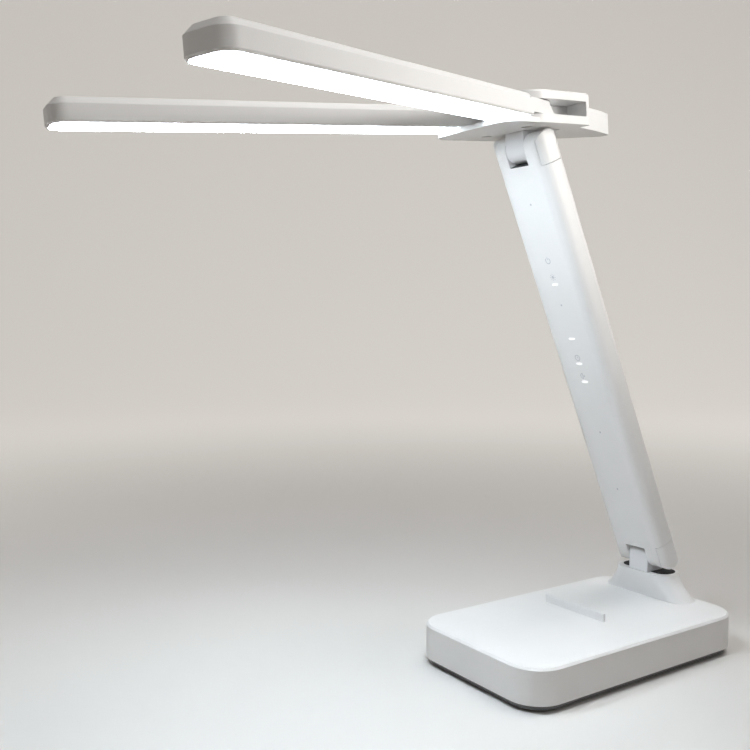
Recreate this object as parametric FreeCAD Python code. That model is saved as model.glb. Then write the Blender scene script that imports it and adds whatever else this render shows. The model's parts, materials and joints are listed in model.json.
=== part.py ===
import FreeCAD, Part
import math
import os

os.makedirs("parts", exist_ok=True)

# Folding desk lamp with two light bars. Millimetres, +Z up, the user sits on the -Y side.
# The origin is the centre of the pad's underside, where the lamp stands on the desk.

# Clearances
RUN = 0.05          # shaft in its hole
FACE = 0.15         # flat face beside a moving flat face
GAP = 0.3           # curved or swept faces on different bodies
SEAT = 0.1          # one fixed piece let into another
FAR = 400.0         # reach of a cut that runs right out of the part

# Base
BASE_W = 89.2
BASE_L = 150.0
BASE_R = 16.2
PAD_T = 1.5
PAD_INSET = 5.5
FLANGE_INSET = 1.8
WALL_FOOT_Z = 3.8
PLUG_T = 1.8
PLUG_GAP = 0.15
BASE_TOP_Z = 21.12
BASE_EDGE = 1.04
BASE_SKIN = 2.2
RIB_X0 = -27.2
RIB_X1 = 14.3
RIB_Y = 2.9
RIB_T = 1.3
RIB_H = 4.2
RIB_ROOT = 0.6
BOSS_INSET = 9.5
BOSS_R = 3.2
SCREW_R = 1.4
SCREW_HEAD_R = 2.5
SCREW_HEAD_T = 1.4
SCREW_LEN = 9.0
HEAD_ROOM = 0.2     # a screw head in its pocket

# Where the stem stands, and its pose
STEM_X = -7.5
HINGE_TO_REAR = 14.2
LOWER_Y = BASE_L / 2 - HINGE_TO_REAR
LOWER_Z = 45.2
STEM_LEAN = 23.91
HEAD_PITCH = 4.4
RIGHT_SWING = 20.1
LEFT_SWING = 6.7

# Pedestal
PED_RIM_Z = 35.0
PED_RIM_HW = 18.0
PED_RIM_Y0 = LOWER_Y - 7.3
PED_RIM_Y1 = LOWER_Y + 11.7
PED_R = 8.5
PED_FOOT_HW = 28.0
PED_FOOT_Y0 = LOWER_Y - 4.8
PED_FOOT_Y1 = LOWER_Y + 12.8
PED_FLARE = 1.6
PED_STEPS = 6
PED_WALL = 2.2

# Stem
STEM_W = 34.3
STEM_D = 14.0
STEM_FRONT_R = 6.0
STEM_BACK_R = 3.5
STEM_HINGES = 235.6
STEM_SPLIT = 2.6
STEM_WALL = 2.0
STEM_SOLID_END = 16.0
NOTCH_W = 13.0
NOTCH_GAP = 1.0
CAP_X = 14.3
CAP_BEYOND = 8.6
CAP_SEAM = 0.25
STEM_SINK = 0.3
STEM_BITE = 5.6
TOUCH_HW = 11.0
TOUCH_Z0 = 40.0
TOUCH_CHIP_Z = 90.0

# Hinge hardware
PIN_R = 2.0
PIN_HEAD_R = 3.5
PIN_HEAD_T = 1.6
WASHER_T = 0.5
POCKET_R = 4.2
POCKET_FLOOR = 11.0
NUT_AF = 6.6
NUT_T = 1.8
BARREL_GAP = 0.8

# Head
HUB_Z0 = 7.66
LIP_H = 3.9
TOP_T = 4.2
APRON_T = 2.3
APRON_REACH = 10.9
APRON_R = 9.0
TONGUE_SPACE = 6.9
HUB_PIVOT_X = 14.3
HUB_PIVOT_Y = -11.6
HUB_LOBE_R = 13.6
HUB_REAR_Y = 19.2
HUB_REAR_HW = 26.0
HUB_REAR_R = 1.6
HUB_EDGE = 0.9
CORE_HW = 13.5
CORE_FRONT_Y = 3.1
NOSE_HW = 7.7
NOSE_FRONT_Y = 1.3
NOSE_WALL = 1.35
REAR_WALL = 2.8
TAIL_H = 10.6
TAIL_HW = 19.0
TAIL_MID_HW = 11.5
TAIL_MID_Y = 38.9
TAIL_END_Y = 58.4
TAIL_TIP_HW = 3.8
TAIL_TIP_D = 2.4
TAIL_WALL = 2.0
TAIL_LID_T = 2.0
TAIL_LIP = 1.2
HUB_SCREW_X = 10.3
DRIVER_HW = 8.5
DRIVER_L = 14.0
DRIVER_IN = 5.0
DRIVER_LIFT = 1.5

# Arms
ARM_LEN = 209.3
ARM_W = 22.0
ARM_TIP_R = 7.0
ARM_SEAM_Z = 11.11
ARM_WALL_H = 6.45
ARM_CHAMFER = 3.0
ARM_SKIN = 1.6
ARM_FOOT = 0.8
LENS_T = 1.3
LENS_LEDGE = 0.4
LENS_GAP = 0.05
LENS_PROUD = 0.1
LENS_ROOT = 1.5
TONGUE_T = 6.4
TONGUE_TOP_Y = 0.5
ROOT_SOLID = 9.0
SLEEVE_R = 4.0
PIVOT_SCREW_R = 1.5
PIVOT_HEAD_R = 2.5
PIVOT_HEAD_T = 1.6
PIVOT_SINK = 1.0
PIVOT_WASHER_R = 8.5
LED_BOARD_HW = 7.5
LED_BOARD_TIP = 12.0
LED_BOARD_ROOT = 3.0
LED_MARGIN = 10.0
LED_PITCH = 11.5

# Derived levels
PLUG_TOP_Z = WALL_FOOT_Z + PLUG_T
CEILING_Z = BASE_TOP_Z - BASE_SKIN
LAYER_Z0 = HUB_Z0 + LIP_H
LAYER_Z1 = LAYER_Z0 + TONGUE_SPACE
HUB_Z1 = LAYER_Z1 + TOP_T
TAIL_Z1 = HUB_Z0 + TAIL_H
ARM_Z1 = ARM_SEAM_Z + ARM_WALL_H + ARM_CHAMFER
LENS_Z1 = ARM_SEAM_Z - ARM_FOOT - LENS_PROUD + LENS_T
TONGUE_W = NOTCH_W - 2 * FACE
BARREL_R = STEM_D / 2 - BARREL_GAP
NOTCH_BEYOND = BARREL_R + NOTCH_GAP
ARM_ROOT = HUB_LOBE_R + GAP
TONGUE_Z0 = LAYER_Z0 + (TONGUE_SPACE - TONGUE_T) / 2
X_AXIS = FreeCAD.Vector(1, 0, 0)
Z_AXIS = FreeCAD.Vector(0, 0, 1)
ORIGIN = FreeCAD.Vector(0, 0, 0)
FRONTWARD = FreeCAD.Vector(0, -1, 0)


def box(x0, x1, y0, y1, z0, z1):
    return Part.makeBox(x1 - x0, y1 - y0, z1 - z0, FreeCAD.Vector(x0, y0, z0))


def zcyl(x, y, z0, z1, r):
    return Part.makeCylinder(r, z1 - z0, FreeCAD.Vector(x, y, z0), Z_AXIS)


def xcyl(x0, x1, y, z, r):
    return Part.makeCylinder(r, x1 - x0, FreeCAD.Vector(x0, y, z), X_AXIS)


def join(shapes):
    return shapes[0].fuse(shapes[1:]).removeSplitter()


def loop(points):
    # Points are (x, y, z) corners, or pairs of them where the second is the end of an arc.
    edges = []
    last = FreeCAD.Vector(*points[0])
    for step in points[1:]:
        if isinstance(step[0], tuple):
            mid = FreeCAD.Vector(*step[0])
            end = FreeCAD.Vector(*step[1])
            edges.append(Part.Arc(last, mid, end).toShape())
        else:
            end = FreeCAD.Vector(*step)
            edges.append(Part.LineSegment(last, end).toShape())
        last = end
    return Part.Wire(edges)


def prism(wire, height):
    return Part.Face(wire).extrude(FreeCAD.Vector(0, 0, height))


def rounded(x0, x1, y0, y1, z, r):
    k = r * (1 - math.sqrt(0.5))
    return loop([
        (x0 + r, y0, z),
        (x1 - r, y0, z),
        ((x1 - k, y0 + k, z), (x1, y0 + r, z)),
        (x1, y1 - r, z),
        ((x1 - k, y1 - k, z), (x1 - r, y1, z)),
        (x0 + r, y1, z),
        ((x0 + k, y1 - k, z), (x0, y1 - r, z)),
        (x0, y0 + r, z),
        ((x0 + k, y0 + k, z), (x0 + r, y0, z)),
    ])


def base_outline(inset, z):
    return rounded(-BASE_W / 2 + inset, BASE_W / 2 - inset,
                   -BASE_L / 2 + inset, BASE_L / 2 - inset, z, BASE_R - inset)


def loft(wires):
    return Part.makeLoft(wires, True, True)


def stem_place(shape):
    out = shape.copy()
    out.rotate(ORIGIN, X_AXIS, STEM_LEAN)
    out.translate(FreeCAD.Vector(STEM_X, LOWER_Y, LOWER_Z))
    return out


def head_place(shape):
    lean = math.radians(STEM_LEAN)
    out = shape.copy()
    out.rotate(ORIGIN, X_AXIS, HEAD_PITCH)
    out.translate(FreeCAD.Vector(STEM_X, LOWER_Y - STEM_HINGES * math.sin(lean),
                                 LOWER_Z + STEM_HINGES * math.cos(lean)))
    return out


def arm_place(shape, side):
    swing = RIGHT_SWING if side > 0 else -LEFT_SWING
    out = shape.copy()
    out.rotate(ORIGIN, Z_AXIS, swing)
    out.translate(FreeCAD.Vector(side * HUB_PIVOT_X, HUB_PIVOT_Y, 0))
    return head_place(out)


def save(name, shape):
    shape.exportStep("parts/" + name + ".step")


def group(shapes):
    return Part.makeCompound(shapes)


# Base

def boss_points():
    dx = BASE_W / 2 - BOSS_INSET
    dy = BASE_L / 2 - BOSS_INSET
    return [(-dx, -dy), (dx, -dy), (-dx, dy), (dx, dy)]


def screw(x, y, z, r, head_r, head_t, length):
    # Its head at the bottom and its point upward.
    head = zcyl(x, y, z, z + head_t, head_r)
    return head.fuse(zcyl(x, y, z + head_t, z + head_t + length, r))


def anti_slip_pad():
    return prism(base_outline(PAD_INSET, 0), PAD_T)


def base_bottom_cover():
    flange = prism(base_outline(FLANGE_INSET, PAD_T), WALL_FOOT_Z - PAD_T)
    plug = prism(base_outline(BASE_SKIN + PLUG_GAP, WALL_FOOT_Z), PLUG_T)
    body = flange.fuse(plug)
    for x, y in boss_points() + BRACKET_SCREWS + WEIGHT_SCREWS:
        body = body.cut(zcyl(x, y, 0, PLUG_TOP_Z, SCREW_R + RUN))
        body = body.cut(zcyl(x, y, 0, HEAD_Z + SCREW_HEAD_T, SCREW_HEAD_R + HEAD_ROOM))
    return body.removeSplitter()


def pedestal_outline(inset, z):
    # The foot flares out towards the base in a hollow curve.
    t = (z - BASE_TOP_Z) / (PED_RIM_Z - BASE_TOP_Z)
    s = (1 - min(max(t, 0), 1)) ** PED_FLARE
    hw = PED_RIM_HW + (PED_FOOT_HW - PED_RIM_HW) * s - inset
    y0 = PED_RIM_Y0 + (PED_FOOT_Y0 - PED_RIM_Y0) * s + inset
    y1 = PED_RIM_Y1 + (PED_FOOT_Y1 - PED_RIM_Y1) * s - inset
    return rounded(STEM_X - hw, STEM_X + hw, y0, y1, z, PED_R - inset)


def pedestal(inset, z0, z1):
    levels = [z0]
    for k in range(PED_STEPS + 1):
        z = BASE_TOP_Z + (z1 - BASE_TOP_Z) * k / PED_STEPS
        levels.append(z)
    return Part.makeLoft([pedestal_outline(inset, z) for z in levels], True, True)


def base_top_cover():
    wall = prism(base_outline(0, WALL_FOOT_Z), BASE_TOP_Z - BASE_EDGE - WALL_FOOT_Z)
    edge = loft([base_outline(0, BASE_TOP_Z - BASE_EDGE), base_outline(BASE_EDGE, BASE_TOP_Z)])
    hollow = prism(base_outline(BASE_SKIN, WALL_FOOT_Z), CEILING_Z - WALL_FOOT_Z)
    body = wall.fuse(edge).cut(hollow)
    body = body.fuse(pedestal(0, BASE_TOP_Z - BASE_EDGE, PED_RIM_Z))
    body = body.cut(pedestal(PED_WALL, CEILING_Z - BASE_EDGE, PED_RIM_Z - PED_WALL))
    hw = TONGUE_W / 2 + GAP
    body = body.cut(box(STEM_X - hw, STEM_X + hw, LOWER_Y - BARREL_R - GAP, LOWER_Y + BARREL_R + GAP,
                        NECK_FOOT_Z - GAP, PED_RIM_Z + 1))
    rib = box(RIB_X0, RIB_X1, RIB_Y - RIB_T / 2, RIB_Y + RIB_T / 2,
              BASE_TOP_Z - RIB_ROOT, BASE_TOP_Z + RIB_H)
    tops = []
    for e in rib.Edges:
        if abs(e.BoundBox.ZMin - BASE_TOP_Z - RIB_H) < 0.01:
            if e.BoundBox.XLength > 1:
                tops.append(e)
    body = body.fuse(rib.makeFillet(RIB_T * 0.4, tops))
    for x, y in boss_points():
        body = body.fuse(zcyl(x, y, PLUG_TOP_Z, CEILING_Z + 0.5, BOSS_R))
        body = body.cut(zcyl(x, y, PLUG_TOP_Z, PLUG_TOP_Z + SCREW_LEN, SCREW_R + RUN))
    port = box(PORT_X - PORT_W / 2 - GAP, PORT_X + PORT_W / 2 + GAP,
               BASE_L / 2 - BASE_SKIN - 1, BASE_L / 2 + 1, PORT_Z - GAP, PORT_Z + PORT_H + GAP)
    return body.cut(port).removeSplitter()


def base_screws():
    out = []
    for x, y in boss_points():
        out.append(screw(x, y, HEAD_Z, SCREW_R, SCREW_HEAD_R, SCREW_HEAD_T, SCREW_LEN))
    return group(out)


# The steel weight, the battery and the charging electronics inside the base
HEAD_Z = PAD_T + SEAT
BATTERY_W = 50.0
BATTERY_L = 33.0
BATTERY_T = 9.0
BATTERY_TO_HINGE = 18.0
BATTERY_Y1 = LOWER_Y - BATTERY_TO_HINGE
BATTERY_Y0 = BATTERY_Y1 - BATTERY_L
WEIGHT_SIDE = 14.6
WEIGHT_FRONT = 13.0
WEIGHT_TO_BATTERY = 5.0
WEIGHT_T = 7.0
WEIGHT_X = BASE_W / 2 - WEIGHT_SIDE
WEIGHT_Y0 = -BASE_L / 2 + WEIGHT_FRONT
WEIGHT_Y1 = BATTERY_Y0 - WEIGHT_TO_BATTERY
WEIGHT_SCREW_IN = 10.0
WEIGHT_SCREWS = [(0, WEIGHT_Y0 + WEIGHT_SCREW_IN), (0, WEIGHT_Y1 - WEIGHT_SCREW_IN)]
POST_Y0 = PED_FOOT_Y0 + PED_WALL + GAP
POST_Y1 = LOWER_Y + BARREL_R
POST_SCREW_X = 3.8
POST_MID_Y = (POST_Y0 + POST_Y1) / 2
BRACKET_SCREWS = [(STEM_X - POST_SCREW_X, POST_MID_Y), (STEM_X + POST_SCREW_X, POST_MID_Y)]
NECK_FOOT_Z = PED_RIM_Z - 2.0
PORT_X = 20.0
PORT_W = 9.0
PORT_H = 3.3
PORT_D = 7.4
PORT_SET_IN = 0.7
BOARD_T = 1.2
BOARD_W = 20.0
BOARD_L = 26.4
BOARD_LIFT = 2.5
BOARD_Z = PLUG_TOP_Z + BOARD_LIFT
BOARD_Y1 = BASE_L / 2 - BASE_SKIN - GAP
PORT_Z = BOARD_Z + BOARD_T


def counterweight():
    body = prism(rounded(-WEIGHT_X, WEIGHT_X, WEIGHT_Y0, WEIGHT_Y1, PLUG_TOP_Z, 3), WEIGHT_T)
    for x, y in WEIGHT_SCREWS:
        body = body.cut(zcyl(x, y, PLUG_TOP_Z, PLUG_TOP_Z + WEIGHT_T, SCREW_R + RUN))
    return body


def weight_screws():
    out = []
    for x, y in WEIGHT_SCREWS:
        out.append(screw(x, y, HEAD_Z, SCREW_R, SCREW_HEAD_R, SCREW_HEAD_T, SCREW_LEN))
    return group(out)


def battery():
    return prism(rounded(STEM_X - BATTERY_W / 2, STEM_X + BATTERY_W / 2, BATTERY_Y0, BATTERY_Y1,
                         PLUG_TOP_Z, 2), BATTERY_T)


def charge_board():
    y0 = BOARD_Y1 - BOARD_L
    x0 = PORT_X - BOARD_W / 2
    x1 = PORT_X + BOARD_W / 2
    top = BOARD_Z + BOARD_T
    plate = box(x0, x1, y0, BOARD_Y1, BOARD_Z, top)
    chip = box(x0 + 4, x0 + 10, y0 + 4, y0 + 10, top, top + 1.2)
    coil = box(x1 - 8, x1 - 2, y0 + 6, y0 + 12, top, top + 2.6)
    feet = []
    for x in (x0 + 0.6, x1 - 3.4):
        for y in (y0 + 0.6, BOARD_Y1 - PORT_D - 6):
            feet.append(box(x, x + 2.8, y, y + 2.8, PLUG_TOP_Z, BOARD_Z))
    return join([plate, chip, coil] + feet)


def usb_socket():
    y1 = BASE_L / 2 - PORT_SET_IN
    shell = box(PORT_X - PORT_W / 2, PORT_X + PORT_W / 2, y1 - PORT_D, y1, PORT_Z, PORT_Z + PORT_H)
    rims = []
    for e in shell.Edges:
        if e.BoundBox.YLength > 1:
            rims.append(e)
    shell = shell.makeFillet(PORT_H * 0.45, rims)
    mouth = box(PORT_X - PORT_W / 2 + 0.5, PORT_X + PORT_W / 2 - 0.5, y1 - PORT_D + 1, y1 + 1,
                PORT_Z + 0.5, PORT_Z + PORT_H - 0.5)
    blade = box(PORT_X - PORT_W * 0.36, PORT_X + PORT_W * 0.36, y1 - PORT_D + 0.5, y1 - 1,
                PORT_Z + PORT_H / 2 - 0.35, PORT_Z + PORT_H / 2 + 0.35)
    return shell.cut(mouth).fuse(blade).removeSplitter()


def lower_hinge_bracket():
    # Dropped in through the slot of the pedestal and screwed up from the bottom cover.
    x0 = STEM_X - TONGUE_W / 2
    x1 = STEM_X + TONGUE_W / 2
    post = box(x0, x1, POST_Y0, POST_Y1, PLUG_TOP_Z, LOWER_Z)
    neck = box(x0, x1, LOWER_Y - BARREL_R, POST_Y1, NECK_FOOT_Z, LOWER_Z)
    barrel = xcyl(x0, x1, LOWER_Y, LOWER_Z, BARREL_R)
    body = join([post, neck, barrel]).cut(xcyl(x0 - 1, x1 + 1, LOWER_Y, LOWER_Z, PIN_R + RUN))
    for x, y in BRACKET_SCREWS:
        body = body.cut(zcyl(x, y, PLUG_TOP_Z, PLUG_TOP_Z + SCREW_LEN, SCREW_R + RUN))
    return body


def bracket_screws():
    out = []
    for x, y in BRACKET_SCREWS:
        out.append(screw(x, y, HEAD_Z, SCREW_R, SCREW_HEAD_R, SCREW_HEAD_T, SCREW_LEN))
    return group(out)


# Stem, drawn upright with the lower hinge axis through the origin

def stem_section(inset):
    hw = STEM_W / 2 - inset
    y0 = -STEM_D / 2 + inset
    y1 = STEM_D / 2 - inset
    f = STEM_FRONT_R - inset
    b = STEM_BACK_R - inset
    kf = f * (1 - math.sqrt(0.5))
    kb = b * (1 - math.sqrt(0.5))
    z = -STEM_D
    return loop([
        (-hw + f, y0, z),
        (hw - f, y0, z),
        ((hw - kf, y0 + kf, z), (hw, y0 + f, z)),
        (hw, y1 - b, z),
        ((hw - kb, y1 - kb, z), (hw - b, y1, z)),
        (-hw + b, y1, z),
        ((-hw + kb, y1 - kb, z), (-hw, y1 - b, z)),
        (-hw, y0 + f, z),
        ((-hw + kf, y0 + kf, z), (-hw + f, y0, z)),
    ])


def stem_blank():
    bar = prism(stem_section(0), STEM_HINGES + 2 * STEM_D)
    side = box(-STEM_W, STEM_W, -STEM_D / 2, STEM_D / 2, 0, STEM_HINGES)
    ends = []
    for z in (0, STEM_HINGES):
        ends.append(xcyl(-STEM_W, STEM_W, 0, z, STEM_D / 2))
    return bar.common(join([side] + ends))


def stem_ends():
    # Each end as (hinge height, direction from the hinge towards the middle of the stem).
    return [(0, 1), (STEM_HINGES, -1)]


def cap_zone(z, up, grow):
    far = z - up * STEM_D
    near = z + up * (CAP_BEYOND + grow)
    return min(far, near), max(far, near)


def stem_body():
    body = stem_blank()
    for z, up in stem_ends():
        z0 = min(z - up * STEM_D, z + up * NOTCH_BEYOND)
        z1 = max(z - up * STEM_D, z + up * NOTCH_BEYOND)
        body = body.cut(box(-NOTCH_W / 2, NOTCH_W / 2, -STEM_D, STEM_D, z0, z1))
        c0, c1 = cap_zone(z, up, CAP_SEAM)
        for sx in (-1, 1):
            x0 = min(sx * (CAP_X - CAP_SEAM), sx * STEM_W)
            x1 = max(sx * (CAP_X - CAP_SEAM), sx * STEM_W)
            body = body.cut(box(x0, x1, -STEM_D, STEM_D, c0, c1))
            p0 = min(sx * POCKET_FLOOR, sx * STEM_W)
            p1 = max(sx * POCKET_FLOOR, sx * STEM_W)
            body = body.cut(xcyl(p0, p1, 0, z, POCKET_R))
        body = body.cut(xcyl(-STEM_W, STEM_W, 0, z, PIN_R + RUN))
    hw = STEM_W / 2 - STEM_WALL
    body = body.cut(box(-hw, hw, -STEM_D / 2 + STEM_WALL, STEM_D / 2 - STEM_WALL,
                        STEM_SOLID_END, STEM_HINGES - STEM_SOLID_END))
    return body


def stem_screw_points():
    # On the centre line, in the solid web between each hinge and the hollow.
    z = (NOTCH_BEYOND + STEM_SOLID_END) / 2
    return [(0, z), (0, STEM_HINGES - z)]


def stem_front_cover(body):
    front = body.common(box(-STEM_W, STEM_W, -STEM_D, STEM_SPLIT, -STEM_D, STEM_HINGES + STEM_D))
    for x, z in stem_screw_points():
        bore = Part.makeCylinder(SCREW_R + RUN, STEM_BITE, FreeCAD.Vector(x, STEM_SPLIT, z), FRONTWARD)
        front = front.cut(bore)
    return front


def stem_back_cover(body):
    back = body.common(box(-STEM_W, STEM_W, STEM_SPLIT, STEM_D, -STEM_D, STEM_HINGES + STEM_D))
    for x, z in stem_screw_points():
        mouth = FreeCAD.Vector(x, STEM_D / 2, z)
        back = back.cut(Part.makeCylinder(SCREW_R + RUN, STEM_D / 2, mouth, FRONTWARD))
        back = back.cut(Part.makeCylinder(SCREW_HEAD_R + HEAD_ROOM, STEM_SINK + SCREW_HEAD_T, mouth, FRONTWARD))
    return back


def stem_screws():
    out = []
    for x, z in stem_screw_points():
        length = STEM_D / 2 - STEM_SINK - SCREW_HEAD_T - STEM_SPLIT + STEM_BITE - 0.3
        s = screw(0, 0, 0, SCREW_R, SCREW_HEAD_R, SCREW_HEAD_T, length)
        s.rotate(ORIGIN, X_AXIS, 90)
        s.translate(FreeCAD.Vector(x, STEM_D / 2 - STEM_SINK, z))
        out.append(s)
    return group(out)


def stem_cap(end, sx):
    z, up = stem_ends()[end]
    c0, c1 = cap_zone(z, up, 0)
    x0 = min(sx * CAP_X, sx * STEM_W)
    x1 = max(sx * CAP_X, sx * STEM_W)
    return stem_blank().common(box(x0, x1, -STEM_D, STEM_D, c0, c1))


def touch_board():
    y0 = -STEM_D / 2 + STEM_WALL
    plate = box(-TOUCH_HW, TOUCH_HW, y0, y0 + BOARD_T, TOUCH_Z0, STEM_HINGES - STEM_SOLID_END - 2)
    chip = box(-3, 3, y0 + BOARD_T, y0 + BOARD_T + 1.2, TOUCH_CHIP_Z, TOUCH_CHIP_Z + 6)
    return join([plate, chip])


def hinge_pin(z):
    head = xcyl(-POCKET_FLOOR - WASHER_T - PIN_HEAD_T, -POCKET_FLOOR - WASHER_T, 0, z, PIN_HEAD_R)
    shank = xcyl(-POCKET_FLOOR - WASHER_T, CAP_X - 0.6, 0, z, PIN_R)
    return head.fuse(shank).removeSplitter()


def hinge_nut(z):
    hexagon = Part.makePolygon([
        FreeCAD.Vector(0, NUT_AF / math.sqrt(3) * math.cos(math.radians(60 * k)),
                       NUT_AF / math.sqrt(3) * math.sin(math.radians(60 * k)))
        for k in range(7)])
    body = Part.Face(hexagon).extrude(FreeCAD.Vector(NUT_T, 0, 0))
    body.translate(FreeCAD.Vector(POCKET_FLOOR, 0, z))
    return body.cut(xcyl(0, STEM_W, 0, z, PIN_R + 0.02))


def hinge_washers():
    # One under the head of each pin.
    out = []
    for z, up in stem_ends():
        ring = xcyl(-POCKET_FLOOR - WASHER_T, -POCKET_FLOOR, 0, z, PIN_HEAD_R + 0.3)
        out.append(ring.cut(xcyl(-STEM_W, STEM_W, 0, z, PIN_R + RUN)))
    return group(out)


# Head, drawn level with the upper hinge axis through the origin

def block_outline(inset, z):
    hw = HUB_PIVOT_X + HUB_LOBE_R - inset
    rear_hw = HUB_REAR_HW - inset
    fy = HUB_PIVOT_Y - HUB_LOBE_R + inset
    ry = HUB_REAR_Y - inset
    r = HUB_REAR_R
    k = r * (1 - math.sqrt(0.5))
    q = (HUB_LOBE_R - inset) * math.sqrt(0.5)
    px = HUB_PIVOT_X
    py = HUB_PIVOT_Y
    return loop([
        (-px, fy, z),
        (px, fy, z),
        ((px + q, py - q, z), (hw, py, z)),
        (rear_hw, ry - r, z),
        ((rear_hw - k, ry - k, z), (rear_hw - r, ry, z)),
        (-rear_hw + r, ry, z),
        ((-rear_hw + k, ry - k, z), (-rear_hw, ry - r, z)),
        (-hw, py, z),
        ((-px - q, py - q, z), (-px, fy, z)),
    ])


def apron_outline(z):
    # The lip under the arms, wider in front than the two round ends above it.
    hw = HUB_PIVOT_X + HUB_LOBE_R
    fy = HUB_PIVOT_Y - HUB_LOBE_R - APRON_REACH
    r = APRON_R
    k = r * (1 - math.sqrt(0.5))
    return loop([
        (-hw + r, fy, z),
        (hw - r, fy, z),
        ((hw - k, fy + k, z), (hw, fy + r, z)),
        (HUB_REAR_HW, HUB_REAR_Y - r, z),
        (-HUB_REAR_HW, HUB_REAR_Y - r, z),
        (-hw, fy + r, z),
        ((-hw + k, fy + k, z), (-hw + r, fy, z)),
    ])


def tail_outline(inset, z):
    y0 = HUB_REAR_Y - 1 + 2.4 * inset
    root_x = TAIL_HW - 1.9 * inset
    tip_x = TAIL_TIP_HW - 0.7 * inset
    tip_y = TAIL_END_Y - TAIL_TIP_D - 1.1 * inset
    return loop([
        (-root_x, y0, z),
        (root_x, y0, z),
        ((TAIL_MID_HW - inset, TAIL_MID_Y, z), (tip_x, tip_y, z)),
        ((0, TAIL_END_Y - 1.2 * inset, z), (-tip_x, tip_y, z)),
        ((-TAIL_MID_HW + inset, TAIL_MID_Y, z), (-root_x, y0, z)),
    ])


def hub_screw_points():
    y = (CORE_FRONT_Y + HUB_REAR_Y) / 2
    return [(-HUB_SCREW_X, y), (HUB_SCREW_X, y)]


def pivot_points():
    return [(-HUB_PIVOT_X, HUB_PIVOT_Y), (HUB_PIVOT_X, HUB_PIVOT_Y)]


NECK_FLANGE_T = 6.2
NECK_FLANGE_LIFT = 0.4
NECK_FLANGE_Z0 = HUB_Z0 + NECK_FLANGE_LIFT
NECK_FLANGE_Z1 = NECK_FLANGE_Z0 + NECK_FLANGE_T
NECK_FLANGE_Y0 = NOSE_FRONT_Y + NOSE_WALL + SEAT
NECK_FLANGE_L = 13.2
NECK_FLANGE_Y1 = NECK_FLANGE_Y0 + NECK_FLANGE_L
NECK_SCREW_X = 3.8
NECK_SCREWS = [(-NECK_SCREW_X, NECK_FLANGE_Y1 - 4.5), (NECK_SCREW_X, NECK_FLANGE_Y1 - 4.5)]
SMALL_R = 1.0
SMALL_HEAD_R = 1.8
SMALL_HEAD_T = 1.5
SMALL_SINK = 0.3
SMALL_BITE = 3.0
TOP_BITE = 2.5


def hub_lower_shell():
    lip = prism(block_outline(0, HUB_Z0), LIP_H)
    apron = prism(apron_outline(HUB_Z0), APRON_T)
    tail = prism(tail_outline(0, HUB_Z0), TAIL_H - TAIL_LID_T)
    room = prism(tail_outline(TAIL_WALL, HUB_Z0 + TAIL_WALL), TAIL_H)
    core = box(-CORE_HW, CORE_HW, CORE_FRONT_Y, HUB_REAR_Y, HUB_Z0, LAYER_Z1)
    nose = box(-NOSE_HW, NOSE_HW, NOSE_FRONT_Y, HUB_REAR_Y, HUB_Z0, LAYER_Z1)
    rear = prism(block_outline(0, LAYER_Z0), TONGUE_SPACE)
    rear = rear.common(box(-FAR, FAR, HUB_REAR_Y - REAR_WALL, FAR, 0, FAR))
    body = join([lip, apron, tail.cut(room), core, nose, rear])
    x = TONGUE_W / 2 + SEAT
    body = body.cut(box(-x, x, -BARREL_R - SEAT, BARREL_R + SEAT, 0, LAYER_Z0))
    body = body.cut(box(-x, x, NECK_FLANGE_Y0 - SEAT, NECK_FLANGE_Y1 + SEAT, 0, NECK_FLANGE_Z1))
    for x, y in pivot_points():
        body = body.cut(zcyl(x, y, HUB_Z0, LAYER_Z0, PIVOT_SCREW_R + RUN))
        body = body.cut(zcyl(x, y, HUB_Z0, HUB_Z0 + PIVOT_SINK + PIVOT_HEAD_T, PIVOT_HEAD_R + HEAD_ROOM))
    for x, y in hub_screw_points():
        body = body.cut(zcyl(x, y, HUB_Z0, LAYER_Z1, SMALL_R + RUN))
        body = body.cut(zcyl(x, y, HUB_Z0, HUB_Z0 + SMALL_SINK + SMALL_HEAD_T, SMALL_HEAD_R + HEAD_ROOM))
    for x, y in NECK_SCREWS:
        body = body.cut(zcyl(x, y, NECK_FLANGE_Z1, NECK_FLANGE_Z1 + SMALL_BITE + GAP, SMALL_R + RUN))
    return body.removeSplitter()


def hub_top_plate():
    slab = prism(block_outline(0, LAYER_Z1), TOP_T - HUB_EDGE)
    rim = loft([block_outline(0, HUB_Z1 - HUB_EDGE), block_outline(HUB_EDGE, HUB_Z1)])
    body = slab.fuse(rim)
    for x, y in pivot_points():
        body = body.cut(zcyl(x, y, LAYER_Z1, LAYER_Z1 + TOP_BITE + GAP, PIVOT_SCREW_R + RUN))
    for x, y in hub_screw_points():
        body = body.cut(zcyl(x, y, LAYER_Z1, LAYER_Z1 + TOP_BITE + GAP, SMALL_R + RUN))
    return body.removeSplitter()


def hub_tail_lid():
    slab = prism(tail_outline(0, TAIL_Z1 - TAIL_LID_T), TAIL_LID_T)
    slab = slab.cut(box(-FAR, FAR, -FAR, HUB_REAR_Y, 0, FAR))
    lip = prism(tail_outline(TAIL_WALL + GAP, TAIL_Z1 - TAIL_LID_T - TAIL_LIP), TAIL_LIP)
    return slab.fuse(lip).removeSplitter()


def hub_screws():
    z = HUB_Z0 + SMALL_SINK
    length = LAYER_Z1 + TOP_BITE - z - SMALL_HEAD_T
    out = []
    for x, y in hub_screw_points():
        out.append(screw(x, y, z, SMALL_R, SMALL_HEAD_R, SMALL_HEAD_T, length))
    return group(out)


def pivot_screws():
    z = HUB_Z0 + PIVOT_SINK
    length = LAYER_Z1 + TOP_BITE - z - PIVOT_HEAD_T
    out = []
    for x, y in pivot_points():
        out.append(screw(x, y, z, PIVOT_SCREW_R, PIVOT_HEAD_R, PIVOT_HEAD_T, length))
    return group(out)


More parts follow.
